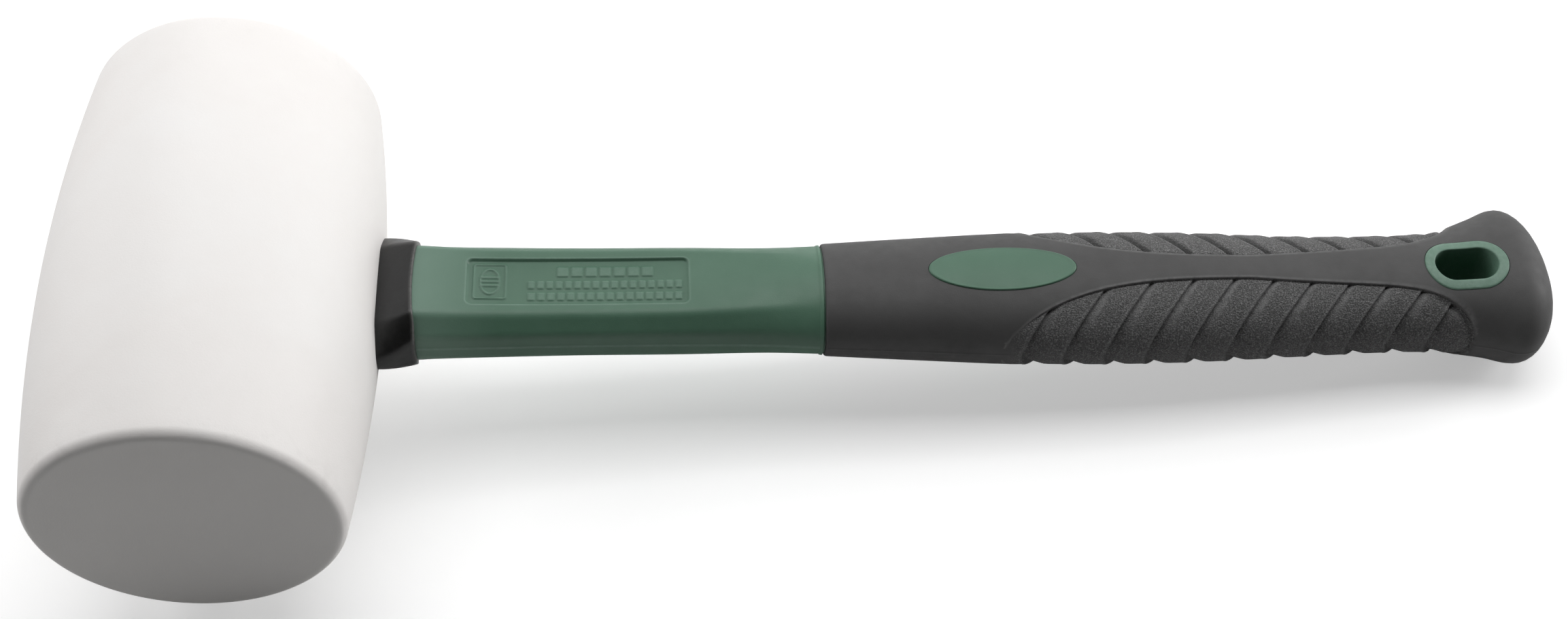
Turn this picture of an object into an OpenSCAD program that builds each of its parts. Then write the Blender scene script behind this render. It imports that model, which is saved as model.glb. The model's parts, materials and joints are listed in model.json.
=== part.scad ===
// Two-faced rubber mallet with a moulded fibreglass handle, lying on its side.
// Millimetres. +X runs from the head to the butt of the handle, +Y from the near striking
// face to the far one, and +Z is up. The origin is the centre of the near striking face.

/* [Head] */
// Length of the head, from one striking face to the other
head_len = 115; // [105:1:130]
// Diameter of the barrel at its middle
head_d = 74; // [70:1:84]
// Diameter of the barrel at its faces
face_d = 65.6; // [60:0.2:68]
// Exponent of the barrel's swell, where 2 is close to an arc
swell = 2; // [2:0.1:3]
// Radius of the rim round each striking face
rim_r = 2.5; // [1:0.5:4]

/* [Eye] */
// Width of the eye through the head
eye_w = 20; // [18:1:21]
// Thickness of the eye
eye_t = 12; // [11.5:0.5:12.5]
// Depth of the handle's tang in the head
tang_depth = 12; // [8:1:20]
// Depth of the bond's end below the barrel, on the side away from the handle
bond_recess = 1.5; // [1:0.5:3]

/* [Collar] */
// Distance from the head's axis to the end of the collar
collar_x = 44.8; // [44:0.1:47]
// How far the collar stands out from the shank at that end
collar_step = 1; // [0.8:0.1:2]
// Width of the collar where it meets the barrel
collar_w = 34.4; // [30:0.2:36]
// Thickness of the collar where it meets the barrel
collar_t = 13.2; // [13:0.2:16]

/* [Core rod] */
// Diameter of the fibreglass rod
rod_d = 10; // [8:0.5:10.5]
// Distance from the head's axis to the rod's blind end
rod_x = 258; // [240:1:260]

/* [Shank label] */
// Length of the recess on each broad face of the shank
label_l = 48.6; // [40:0.2:52]
// Width of the recess
label_w = 12.4; // [11.6:0.2:13.2]
// Depth of the recess
label_depth = 0.7; // [0.5:0.1:1]
// Distance from the head's axis to the middle of the recess
label_x = 80.1; // [76:0.1:84]

/* [Badge] */
// Length of the oval badge
badge_l = 33; // [28:0.5:36]
// Width of the oval badge
badge_w = 12; // [9:0.5:13]
// Distance from the head's axis to the middle of the badge
badge_x = 174.2; // [168:0.2:184]
// How far the badge and the slot's ring stand out from the grip
inlay_proud = 0.3; // [0.2:0.1:0.6]

/* [Hang slot] */
// Length of the slot along the handle
slot_l = 14.2; // [12:0.2:16]
// Width of the slot
slot_w = 8.4; // [7:0.2:9]
// Thickness of the wall round the slot
slot_wall = 2.3; // [2:0.1:3]
// Distance from the head's axis to the middle of the slot
slot_x = 279.6; // [276:0.2:281]

/* [Grip] */
// Distance from the head's axis to the front edge of the grip
grip_x = 134.4; // [130:0.2:138]
// Length of the domed end past the widest part of the butt
dome_l = 9.6; // [8:0.1:13]
// How far the tip of the dome falls back from the butt's sideways shift
butt_lean = 1.4; // [0:0.2:2]
// Rounding of the grip's front edge
grip_lip = 0.5; // [0.3:0.1:0.8]

/* [Stem under the grip] */
// Width of the stem
stem_w = 21; // [18:0.5:22]
// Thickness of the stem
stem_t = 14; // [13:0.2:15]

/* [Hidden] */

// Shank sections, octagons with soft edges:
// [distance from the head's axis, width, thickness, broad flat, side flat, roundness 0 to 1]
SHANK = [
    [collar_x, 25.8, 17.2, 19.0, 7.4, 0],
    [58, 25.5, 15.2, 18.4, 7.4, 0],
    [80, 24.8, 14.6, 18.0, 7.4, 0],
    [104, 24.8, 15.2, 18.0, 7.6, 0.1],
    [122, 25.4, 17.0, 17.8, 8.0, 0.6],
    [grip_x, 27.0, 18.8, 17.6, 8.4, 1]
];

// Grip sections, superellipses: [distance from the head's axis, width, thickness, sideways shift]
GRIP = [
    [grip_x, 27.4, 19.0, 0],
    [155, 29.6, 21.2, 0],
    [178, 32.2, 22.6, 0],
    [197, 33.0, 23.2, 0],
    [220, 32.2, 23.0, 0],
    [243, 29.8, 22.4, 0],
    [264, 28.8, 22.2, 0.5],
    [277, 30.0, 22.8, 0.9],
    [285, 34.2, 24.4, 1.9],
    [290, 38.2, 25.6, 2.4],
    [292, 38.8, 25.8, 2.5]
];
GRIP_STATIONS = [
    144, 155, 166, 178, 188, 197, 208, 220, 232, 243, 254, 264, 271, 277, 281, 285, 288, 290, 292
];
GRIP_POWER = 2.2;
GRIP_POINTS = 32;
SHANK_EDGE = 1.6;
BARREL_STEPS = 20;
RIM_STEPS = 4;
CORNER_STEPS = 4;
COLLAR_SADDLE = 4;
COLLAR_FLAT = 21;
COLLAR_SIDE = 5.6;
// How far back from its end the collar is halfway between its two sections
COLLAR_HALFWAY = 3.2;
STEM_CORNER = 4;
EYE_CORNER = 4;
LABEL_CORNER = 1.2;
FRAME_L = 7.7;
FRAME_W = 9.6;
FRAME_LINE = 0.6;
FRAME_INSET = 5.6;
FRAME_Y = -0.5;
BAR_SHIFT = 6;
// Bars in the recess: [place across it, length, width]
BARS = [[3, 21.3, 2.6], [-0.65, 34, 2.1], [-3.9, 34, 2.1]];
RELIEF = 0.4;
REACH = 60;
STEM_END = slot_x - slot_l / 2 - 1;
HEAD_R = head_d / 2;
FACE_R = face_d / 2;
HALF_LEN = head_len / 2;

// ---- curves ----

function unit(v) = v / norm(v);

// Slope of a table's rows at row i, by the rows on each side of it
function slope(table, i) =
    let (a = max(i - 1, 0), b = min(i + 1, len(table) - 1))
    (table[b] - table[a]) / (table[b][0] - table[a][0]);

// A table's row at x, on a smooth curve through its rows
function row_at(table, x) =
    let (
        i = max([for (k = [0 : len(table) - 2]) table[k][0] <= x ? k : 0]),
        dx = table[i + 1][0] - table[i][0],
        t = (x - table[i][0]) / dx
    )
    (1 + 2 * t) * pow(1 - t, 2) * table[i]
    + t * pow(1 - t, 2) * dx * slope(table, i)
    + t * t * (3 - 2 * t) * table[i + 1]
    - t * t * (1 - t) * dx * slope(table, i + 1);

// Rectangle of l by w with round corners
function rounded_outline(l, w, r) = [
    for (q = [0 : 3])
        for (k = [0 : CORNER_STEPS])
            let (
                a = 90 * (q + k / CORNER_STEPS),
                sx = (q == 0 || q == 3) ? 1 : -1,
                sy = q < 2 ? 1 : -1
            )
            [sx * (l / 2 - r) + r * cos(a), sy * (w / 2 - r) + r * sin(a)]
];

function oval_outline(l, w, n) =
    [for (k = [0 : n - 1]) [l / 2 * cos(360 * k / n), w / 2 * sin(360 * k / n)]];

// Superellipse with half axes a and b
function superellipse(a, b, power, n) = [
    for (k = [0 : n - 1])
        let (c = cos(360 * k / n), s = sin(360 * k / n))
        [a * sign(c) * pow(abs(c), 2 / power), b * sign(s) * pow(abs(s), 2 / power)]
];

// Octagon with half width a, half thickness b, and broad and side flats of half lengths f and g,
// each corner cut to three points. As round goes from 0 to 1 it turns into an ellipse.
function soft_octagon(a, b, f, g, round) =
    let (
        c = [[a, -g], [a, g], [f, b], [-f, b], [-a, g], [-a, -g], [-f, -b], [f, -b]],
        points = [
            for (i = [0 : 7])
                let (
                    u = SHANK_EDGE * unit(c[(i + 7) % 8] - c[i]),
                    v = SHANK_EDGE * unit(c[(i + 1) % 8] - c[i])
                )
                each [c[i] + u, c[i] + (u + v) / 4, c[i] + v]
        ]
    )
    [for (p = points) p * (1 - round) + p / norm([p[0] / a, p[1] / b]) * round];

function barrel_r(y) = HEAD_R - (HEAD_R - FACE_R) * pow(abs(y) / HALF_LEN, swell);
RIM_Y = HALF_LEN - rim_r;
RIM_SLOPE = atan(swell * (HEAD_R - FACE_R) / HALF_LEN * pow(RIM_Y / HALF_LEN, swell - 1));
RIM_CENTRE = barrel_r(RIM_Y) - rim_r / cos(RIM_SLOPE);

// ---- solids ----

// Skin over a list of [x, outline] rings, all with the same number of points
module loft(rings) {
    n = len(rings[0][1]);
    points = [for (ring = rings) for (p = ring[1]) [ring[0], p[0], p[1]]];
    sides = [
        for (i = [0 : len(rings) - 2])
            for (k = [0 : n - 1])
                let (j = (k + 1) % n)
                each [
                    [i * n + k, (i + 1) * n + j, i * n + j],
                    [i * n + k, (i + 1) * n + k, (i + 1) * n + j]
                ]
    ];
    front = [for (k = [0 : n - 1]) k];
    back = [for (k = [n - 1 : -1 : 0]) (len(rings) - 1) * n + k];
    polyhedron(points, concat([front], sides, [back]), convexity = 4);
}

// Outline across the handle, carried from x0 to x1
module along_x(x0, x1, outline) {
    translate([x0, 0, 0])
        rotate([90, 0, 90])
            linear_extrude(x1 - x0)
                polygon(outline);
}

// Outline seen from above, carried from z0 to z1 at a place along the handle
module upright(x, z0, z1, outline) {
    translate([x, 0, z0])
        linear_extrude(z1 - z0)
            polygon(outline);
}

// The head's axis lies along Y
module barrel() {
    half = concat(
        [for (k = [0 : BARREL_STEPS - 1]) let (y = RIM_Y * k / BARREL_STEPS) [barrel_r(y), y]],
        [
            for (k = [0 : RIM_STEPS])
                let (a = RIM_SLOPE + (90 - RIM_SLOPE) * k / RIM_STEPS)
                [RIM_CENTRE + rim_r * cos(a), RIM_Y + rim_r * sin(a)]
        ]
    );
    mirrored = [for (k = [len(half) - 1 : -1 : 1]) [half[k][0], -half[k][1]]];
    rotate([-90, 0, 0])
        rotate_extrude($fn = 96)
            polygon(concat([[0, -HALF_LEN]], mirrored, half, [[0, HALF_LEN]]));
}

module rod(x0, x1) {
    translate([x0, 0, 0])
        rotate([0, 90, 0])
            cylinder(d = rod_d, h = x1 - x0, $fn = 48);
}

module eye(x0, x1) {
    along_x(x0, x1, rounded_outline(eye_w, eye_t, EYE_CORNER));
}

function shank_ring(x, out) =
    let (s = row_at(SHANK, x))
    [x, soft_octagon(s[1] / 2 + out, s[2] / 2 + out, s[3] / 2 + out / 2, s[4] / 2 + out / 2, s[5])];

// The collar stands out from the shank at its end, and spreads and thins towards the barrel
function collar_rings() =
    let (
        root = soft_octagon(collar_w / 2, collar_t / 2, COLLAR_FLAT / 2, COLLAR_SIDE / 2, 0),
        step = shank_ring(collar_x, collar_step)[1]
    )
    [
        [HEAD_R - COLLAR_SADDLE, root],
        [HEAD_R - 1, root],
        [collar_x - COLLAR_HALFWAY, (root + step) / 2],
        [collar_x - 1, step],
        [collar_x, shank_ring(collar_x, collar_step - 0.5)[1]]
    ];

module shank() {
    loft([for (x = [collar_x, 50, 58, 69, 80, 92, 104, 113, 122, 128, grip_x]) shank_ring(x, 0)]);
}

// The grip's outer form, grown on all sides by out
module grip_form(out = 0) {
    body = [
        for (x = concat([grip_x + grip_lip], GRIP_STATIONS))
            let (g = row_at(GRIP, x)) [x, g[1], g[2], g[3], 1]
    ];
    lip = [grip_x, body[0][1] - 2 * grip_lip, body[0][2] - 2 * grip_lip, 0, 1];
    last = GRIP[len(GRIP) - 1];
    dome = [
        for (u = [0.25, 0.5, 0.7, 0.85, 0.95, 0.995])
            [last[0] + dome_l * u, last[1], last[2], last[3] - butt_lean * u * u, sqrt(1 - u * u)]
    ];
    loft([
        for (g = concat([lip], body, dome))
            let (a = g[1] / 2 * g[4] + out, b = g[2] / 2 * g[4] + out)
            [g[0], [for (p = superellipse(a, b, GRIP_POWER, GRIP_POINTS)) [p[0] + g[3], p[1]]]]
    ]);
}

// Footprints of the parts of the core that come up through the grip
BADGE = oval_outline(badge_l, badge_w, 40);
SLOT_RING = rounded_outline(slot_l + 2 * slot_wall, slot_w + 2 * slot_wall, slot_w / 2 + slot_wall - 0.01);
SLOT = rounded_outline(slot_l, slot_w, slot_w / 2 - 0.01);

module stem() {
    along_x(grip_x, STEM_END, rounded_outline(stem_w, stem_t, STEM_CORNER));
}

module inlay_prisms() {
    upright(badge_x, -REACH, REACH, BADGE);
    upright(slot_x, -REACH, REACH, SLOT_RING);
}

// A sunk panel with a plain frame and three plain bars, on the upper broad face
module label_recess() {
    floor_z = row_at(SHANK, label_x)[2] / 2 - label_depth;
    start = label_x - label_l / 2;
    difference() {
        upright(label_x, floor_z, REACH, rounded_outline(label_l, label_w, LABEL_CORNER));
        translate([start + FRAME_INSET, FRAME_Y, floor_z])
            difference() {
                cube([FRAME_L, FRAME_W, 2 * RELIEF], center = true);
                cube([FRAME_L - 2 * FRAME_LINE, FRAME_W - 2 * FRAME_LINE, 3 * RELIEF], center = true);
            }
        for (bar = BARS)
            translate([label_x + BAR_SHIFT, bar[0], floor_z])
                cube([bar[1], bar[2], 2 * RELIEF], center = true);
    }
}

// Everything on the handle's level is lifted off the near face by half the head's length
module at_handle() {
    translate([0, HALF_LEN, 0])
        children();
}

module head() {
    color("whitesmoke")
        at_handle()
            difference() {
                barrel();
                eye(-REACH, REACH);
            }
}

module collar() {
    color("#262626")
        at_handle()
            difference() {
                loft(collar_rings());
                barrel();
                eye(-REACH, REACH);
            }
}

module eye_bond() {
    color("#c9b98a")
        at_handle()
            difference() {
                eye(bond_recess - HEAD_R, HEAD_R - tang_depth);
                rod(-REACH, REACH);
            }
}

module core_rod() {
    color("#d8d2b0")
        at_handle()
            rod(bond_recess - HEAD_R, rod_x);
}

module handle_core() {
    color("#4f7a5e")
        at_handle()
            difference() {
                union() {
                    eye(HEAD_R - tang_depth, collar_x + 1);
                    shank();
                    stem();
                    intersection() {
                        inlay_prisms();
                        grip_form(inlay_proud);
                    }
                }
                rod(-REACH, rod_x);
                label_recess();
                mirror([0, 0, 1])
                    label_recess();
                upright(slot_x, -REACH, REACH, SLOT);
            }
}

module grip() {
    color("#4a4747")
        at_handle()
            difference() {
                grip_form();
                stem();
                inlay_prisms();
            }
}

head();
collar();
eye_bond();
core_rod();
handle_core();
grip();
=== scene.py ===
import json
import math

import bmesh
import bpy
import numpy as np
from mathutils import Matrix, Vector


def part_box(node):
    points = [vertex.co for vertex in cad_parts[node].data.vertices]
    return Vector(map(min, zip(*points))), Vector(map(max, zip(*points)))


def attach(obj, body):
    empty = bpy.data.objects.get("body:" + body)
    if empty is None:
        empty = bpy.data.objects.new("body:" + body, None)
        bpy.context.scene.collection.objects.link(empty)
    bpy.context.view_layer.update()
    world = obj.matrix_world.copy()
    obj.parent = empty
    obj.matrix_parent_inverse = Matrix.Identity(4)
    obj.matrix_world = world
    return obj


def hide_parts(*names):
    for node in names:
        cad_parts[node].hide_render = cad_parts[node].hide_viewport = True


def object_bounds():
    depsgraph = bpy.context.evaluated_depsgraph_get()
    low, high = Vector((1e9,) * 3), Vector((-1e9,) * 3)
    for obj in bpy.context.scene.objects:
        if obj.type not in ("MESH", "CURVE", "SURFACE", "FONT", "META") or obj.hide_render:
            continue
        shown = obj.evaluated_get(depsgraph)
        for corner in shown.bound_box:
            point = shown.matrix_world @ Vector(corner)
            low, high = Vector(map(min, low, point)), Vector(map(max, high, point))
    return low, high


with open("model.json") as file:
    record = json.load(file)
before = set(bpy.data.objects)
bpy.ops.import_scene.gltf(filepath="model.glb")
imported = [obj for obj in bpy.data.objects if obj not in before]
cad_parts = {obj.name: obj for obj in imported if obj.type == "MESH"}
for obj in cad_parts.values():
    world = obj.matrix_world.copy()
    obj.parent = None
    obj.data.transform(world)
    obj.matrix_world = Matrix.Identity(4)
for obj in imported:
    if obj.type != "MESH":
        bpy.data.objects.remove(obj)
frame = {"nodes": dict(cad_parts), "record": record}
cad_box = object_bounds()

# Rubber mallet. Shapes are worked out in millimetres on the handle's axis: x runs from the
# head's axis to the butt, y along the head, z up. place() turns them into the CAD frame.

MM = 0.001

# ---- sizes from the frame ----

head_lo, head_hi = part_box("head")
collar_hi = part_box("collar")[1]
grip_lo, grip_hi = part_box("grip")
AXIS_Y = (head_lo[1] + head_hi[1]) / 2
HEAD_LEN = (head_hi[1] - head_lo[1]) / MM
HEAD_R = (head_hi[2] - head_lo[2]) / 2 / MM
COLLAR_X = collar_hi[0] / MM
GRIP_X = grip_lo[0] / MM
BUTT_X = grip_hi[0] / MM
MOUNTS = {m["name"]: m for m in frame["record"]["mounts"]}
SLOT_X = MOUNTS["hang_slot"]["pos_m"][0] / MM

# ---- head ----

FACE_R = 32.8  # of the barrel at its two ends, before the rims are rounded
SWELL = 2  # power of the barrel's curve
RIM_R = 2.5
EYE_W, EYE_T, EYE_CORNER = 20, 12, 4

# ---- shank and grip sections, as in the CAD ----

# [x, width, thickness, broad flat, side flat, roundness 0 to 1]
SHANK = np.array([
    [COLLAR_X, 25.8, 17.2, 19.0, 7.4, 0],
    [58, 25.5, 15.2, 18.4, 7.4, 0],
    [80, 24.8, 14.6, 18.0, 7.4, 0],
    [104, 24.8, 15.2, 18.0, 7.6, 0.1],
    [122, 25.4, 17.0, 17.8, 8.0, 0.6],
    [GRIP_X, 27.0, 18.8, 17.6, 8.4, 1],
])
SHANK_EDGE = 1.3  # how far the rounding of each edge reaches
PARTING_HALF_W, PARTING_RISE = 0.2, 0.17  # the fine line along both sides
# [x, width, thickness, sideways shift]
GRIP = np.array([
    [GRIP_X, 27.4, 19.0, 0],
    [155, 29.6, 21.2, 0],
    [178, 32.2, 22.6, 0],
    [197, 33.0, 23.2, 0],
    [220, 32.2, 23.0, 0],
    [243, 29.8, 22.4, 0],
    [264, 28.8, 22.2, 0.5],
    [277, 30.0, 22.8, 0.9],
    [285, 34.2, 24.4, 1.9],
    [290, 38.2, 25.6, 2.4],
    [292, 38.8, 25.8, 2.5],
])
GRIP_POWER = 2.2  # of the section's superellipse
LIP_X = GRIP[-1][0]
BUTT_LEAN = 1.4  # how far the butt's tip falls back from the lip's sideways shift

# ---- collar ----

COLLAR_STEP = 1.0  # how far it stands out from the shank
COLLAR_CURVE = 1.7  # above 1, it stays wide near the barrel and then narrows faster
# Against the barrel: half width, half thickness, half broad flat, half side flat, roundness
COLLAR_ROOT = (17.2, 7.1, 12.0, 2.8, 0.6)
COLLAR_SINK = 0.5  # how far it goes into the barrel
COLLAR_BOW = 0.8  # how far its end dips towards the head in the middle of a broad face
BOW_HALF_W = 11.5
BOW_LOW, BOW_RISE = 4.5, 4  # the dip begins at this height, and is whole this much further out

# ---- label panel on both broad faces of the shank ----

LABEL_X, LABEL_L, LABEL_W, LABEL_CORNER, LABEL_DEPTH = 80.1, 48.6, 12.4, 1.2, 0.7
LABEL_WALL = 0.42
EMBLEM_INSET, EMBLEM_Y, EMBLEM_L, EMBLEM_W, EMBLEM_CORNER = 5.0, 0.3, 7.0, 9.4, 0.5
EMBLEM_LINE, EMBLEM_SOFT = 0.36, 0.35
OVAL_HALF_L, OVAL_HALF_W = 2.1, 3.4
OVAL_MM = 2.5  # turns a share of the oval's radius into millimetres, nearly
BAR_PITCH, BAR_HALF_L, BAR_HALF_W = 1.1, 2.0, 0.1
# Rows of plain blocks: [y, length, height of a block, blocks]
BLOCK_ROWS = ((3.0, 21.3, 2.7, 7), (-0.65, 34, 2.1, 17), (-3.9, 34, 2.1, 16))
BLOCK_SHIFT, BLOCK_GAP, BLOCK_CORNER, BLOCK_SOFT = 6.0, 0.55, 0.3, 0.4
RELIEF = 0.28  # height of the emblem and the blocks over the panel's floor
BURR_RISE, BURR_OUT, BURR_HALF_W = 0.03, 0.3, 0.2  # the fine line just outside the panel

# ---- inlays in the grip: the badges and the wall of the hang slot ----

BADGE_X, BADGE_L, BADGE_W = 174.2, 33, 12
BADGE_BED = 0.8  # how far below the grip's surface the room for a badge begins
SLOT_L, SLOT_W, SLOT_WALL = 14.2, 8.4, 2.3
SLOT_TAPER = 0.012  # share of its size that the bore loses at each of four steps to its middle
INLAY_PROUD, INLAY_GAP = 0.22, 0.1
CUTTER_REACH = 20
RING_WEAR = 0.65
WORN_ABOVE, WORN_RISE = 8, 2  # the wall is worn on its two mouths, beyond this height

# ---- side panels of the grip ----

MM_PER_DEGREE = 0.25  # of surface across a panel
ZONE_START, ZONE_MIDDLE, ZONE_END = 174, 230, 281
ZONE_TOP = 80  # how far a panel climbs from the handle's side, in degrees of section
PANEL_DEPTH, PANEL_WALL = 0.4, 0.3
CREASE_DEPTH, CREASE_IN, CREASE_HALF_W = 0.22, 0.22, 0.16  # along the panel's border
HOLLOW_DEPTH, HOLLOW_IN, HOLLOW_HALF_W = 0.75, 1.2, 0.9  # inside the border near the butt
GROOVE_FIRST, GROOVE_PITCH, GROOVES = 179.1, 9.2, 11
GROOVE_SWEEP = 9.5  # how far a groove has run towards the butt at SWEEP_ANGLE
SWEEP_ANGLE, SWEEP_POWER = 76, 1.8
# Each of these is its size at the panel's top and what it gains down to the handle's side
GROOVE_DEPTH, GROOVE_WIDTH, GROOVE_WALL = (0.75, 0.55), (1.4, 3.6), (0.3, 0.8)
FLOOR_POWER = 1.2  # of the curve of a groove's sloping floor

# ---- colours ----

# Shades of a material: [place in its noise, colour]
WHITE_SHADES = [(0.25, (0.86, 0.83, 0.81)), (0.5, (0.885, 0.86, 0.842)), (0.75, (0.90, 0.885, 0.872))]
BLACK_SHADES = [(0.3, (0.0055, 0.0055, 0.0055)), (0.7, (0.010, 0.010, 0.010))]
GREEN_SHADES = [
    (0.25, (0.066, 0.142, 0.095)),
    (0.5, (0.074, 0.156, 0.105)),
    (0.75, (0.083, 0.170, 0.117)),
]
GREY_SHADES = [
    (0.25, (0.055, 0.0545, 0.0545)),
    (0.5, (0.062, 0.0615, 0.0615)),
    (0.75, (0.069, 0.0685, 0.0685)),
]
RESIN_SHADES = [(0.3, (0.40, 0.33, 0.19)), (0.7, (0.52, 0.45, 0.29))]
GLASS_SHADES = [(0.35, (0.34, 0.33, 0.22)), (0.65, (0.62, 0.60, 0.45))]
# The second is painted shade for the two striking faces
SCUFFED_WHITE, SHADED_FACE_WHITE = (0.52, 0.50, 0.48), (0.70, 0.685, 0.67)
DUSTY_BLACK, RUBBED_BLACK = (0.05, 0.05, 0.05), (0.22, 0.22, 0.21)
# The second is both rubbed green and a painted sheen next to the collar
SPECKED_GREEN, RUBBED_GREEN_AND_SHEEN = (0.13, 0.21, 0.165), (0.30, 0.42, 0.36)
# The second colour here is both real rubbing on the grip and a painted highlight on the near side's
# groove floors
GRAINED_GREY, RUBBED_GREY_AND_HIGHLIGHT = (0.11, 0.11, 0.11), (0.21, 0.21, 0.21)
# Painted shade for the pebbles' pits and a painted highlight for their tips
PIT_SHADE_GREY, TIP_HIGHLIGHT_GREY = (0.018, 0.018, 0.018), (0.27, 0.27, 0.27)
# Painted shade on the far side's groove floors
GROOVE_SHADE_BLACK = (0.012, 0.012, 0.012)

# ---- floor, lights and camera ----

FLOOR_HALF = 4.0  # metres
FLOOR_GREY, FLOOR_ROUGHNESS, FLOOR_SPECULAR, FLOOR_GLOW = 0.80, 0.9, 0.1, 0.42
# [name, offset from the middle of the mallet in metres, size in metres, watts]
LIGHTS = [
    ("top", (0, 0.25, 1.1), (1.6, 0.6), 8.4),
    ("back", (0, 0.75, 0.95), (1.8, 0.7), 3.9),
    ("back_low", (0.1, 1.2, 0.25), (1.8, 0.3), 5),
    ("left", (-1.1, 0.45, 0.45), (0.6, 0.7), 5.2),
    ("right", (1.25, 0.4, 0.5), (0.6, 0.7), 9.4),
]
WORLD_LIGHT = 0.02
CAMERA_AT = (91.8, -305.2, 393.2)  # in this script's millimetres
# In radians: to the right of straight along the head, down from level, and turned clockwise
CAMERA_YAW, CAMERA_PITCH, CAMERA_ROLL = 0.1123, 0.9120, 0.0813
CAMERA_LENS = 51.01  # focal length in millimetres


# ======== curves ========

def row_at(table, x):
    """The table's row at each x, on the same smooth curve through its rows as the CAD."""
    x = np.atleast_1d(np.asarray(x, float))
    i = np.clip(np.searchsorted(table[:, 0], x, side="right") - 1, 0, len(table) - 2)

    def slope(k):
        a, b = np.maximum(k - 1, 0), np.minimum(k + 1, len(table) - 1)
        return (table[b] - table[a]) / (table[b, :1] - table[a, :1])

    dx = table[i + 1, :1] - table[i, :1]
    t = (x[:, None] - table[i, :1]) / dx
    return (
        (1 + 2 * t) * (1 - t) ** 2 * table[i]
        + t * (1 - t) ** 2 * dx * slope(i)
        + t * t * (3 - 2 * t) * table[i + 1]
        - t * t * (1 - t) * dx * slope(i + 1)
    )


def smooth(t):
    """0 up to t = 0, 1 from t = 1 on, and an easy curve between them."""
    t = np.clip(t, 0, 1)
    return t * t * (3 - 2 * t)


def bell(distance, half_width):
    """1 at no distance, falling away on both sides."""
    return np.exp(-((distance / half_width) ** 2))


def barrel_r(y):
    return HEAD_R - (HEAD_R - FACE_R) * np.abs(y / (HEAD_LEN / 2)) ** SWELL


def box_distance(x, y, half_x, half_y, corner):
    """Distance outside a rectangle with round corners, negative inside it."""
    qx, qy = np.abs(x) - half_x + corner, np.abs(y) - half_y + corner
    outside = np.hypot(np.maximum(qx, 0), np.maximum(qy, 0))
    return outside + np.minimum(np.maximum(qx, qy), 0) - corner


def stadium(length, width, n):
    """Outline of a slot with round ends, as n points at equal steps along it."""
    r, half = width / 2, (length - width) / 2
    straight, turn = 2 * half, math.pi * r
    total = 2 * (straight + turn)
    points = []
    for k in range(n):
        s = (total * k / n + half) % total
        if s < straight:
            points.append((s - half, r))
        elif s < straight + turn:
            a = (s - straight) / r
            points.append((half + r * math.sin(a), r * math.cos(a)))
        elif s < 2 * straight + turn:
            points.append((half - (s - straight - turn), -r))
        else:
            a = (s - 2 * straight - turn) / r
            points.append((-half - r * math.sin(a), -r * math.cos(a)))
    return np.array(points)


def ellipse(length, width, n=120):
    a = np.linspace(0, 2 * math.pi, n, endpoint=False)
    return np.stack([length / 2 * np.cos(a), width / 2 * np.sin(a)], axis=1)


# ======== meshes ========

def place(points):
    """Millimetres on the handle's axis to metres in the CAD frame."""
    return np.asarray(points, float) * MM + np.array([0, AXIS_Y, 0])


def ring_faces(rings, n, wrap=False):
    """Quads of a tube of rings of n points. wrap joins the last ring to the first."""
    i, k = np.meshgrid(np.arange(rings if wrap else rings - 1), np.arange(n), indexing="ij")
    i, k = i.ravel(), k.ravel()
    j, m = (k + 1) % n, (i + 1) % rings
    return np.stack([i * n + k, m * n + k, m * n + j, i * n + j], axis=1)


def tube(rings, wrap=False):
    """Vertices and faces of a closed tube. rings is an array [ring, point, xyz]."""
    count, n = rings.shape[:2]
    verts = rings.reshape(-1, 3)
    faces = [tuple(f) for f in ring_faces(count, n, wrap)]
    if not wrap:
        middles = np.array([rings[0].mean(axis=0), rings[-1].mean(axis=0)])
        verts = np.concatenate([verts, middles])
        last = (count - 1) * n
        for k in range(n):
            faces.append(((k + 1) % n, count * n, k))
            faces.append((last + k, count * n + 1, last + (k + 1) % n))
    return verts, faces


def prism(outline, low, high):
    """A tube over an outline of [x, y] points from low to high, each one height or a height
    for every point."""
    levels = [np.broadcast_to(z, len(outline)) for z in (low, high)]
    return tube(np.array([np.column_stack([outline, z]) for z in levels]))


def join(*parts):
    """One set of vertices and faces from several."""
    verts, faces, base = [], [], 0
    for v, f in parts:
        verts.append(v)
        faces += [tuple(int(k) + base for k in face) for face in f]
        base += len(v)
    return np.concatenate(verts), faces


def build(name, verts, faces, values=None):
    """A smooth-shaded object from handle-space vertices. values are named lists of one number
    a vertex, and the last vertices get 0 where a list is shorter."""
    mesh = bpy.data.meshes.new(name)
    mesh.from_pydata(place(verts).tolist(), [], [tuple(int(k) for k in f) for f in faces])
    for label, numbers in (values or {}).items():
        attribute = mesh.attributes.new(label, "FLOAT", "POINT")
        padded = np.zeros(len(mesh.vertices), np.float32)
        padded[: len(numbers)] = numbers
        attribute.data.foreach_set("value", padded)
    bm = bmesh.new()
    bm.from_mesh(mesh)
    bmesh.ops.recalc_face_normals(bm, faces=bm.faces)
    bm.to_mesh(mesh)
    bm.free()
    mesh.shade_smooth()
    piece = bpy.data.objects.new(name, mesh)
    bpy.context.collection.objects.link(piece)
    return piece


def cut(piece, cutter):
    """Takes cutter out of piece for good, and removes cutter."""
    carve = piece.modifiers.new("cut", "BOOLEAN")
    carve.operation = "DIFFERENCE"
    carve.solver = "EXACT"
    carve.object = cutter
    view = bpy.context.evaluated_depsgraph_get()
    mesh = bpy.data.meshes.new_from_object(piece.evaluated_get(view))
    piece.modifiers.clear()
    piece.data = mesh
    bpy.data.objects.remove(cutter)


def sharpen(piece, degrees):
    """Keeps edges that turn more than this sharp in the shading."""
    bm = bmesh.new()
    bm.from_mesh(piece.data)
    for edge in bm.edges:
        if len(edge.link_faces) == 2:
            edge.smooth = edge.calc_face_angle(0) < math.radians(degrees)
    bm.to_mesh(piece.data)
    bm.free()


# ======== head ========

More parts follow.
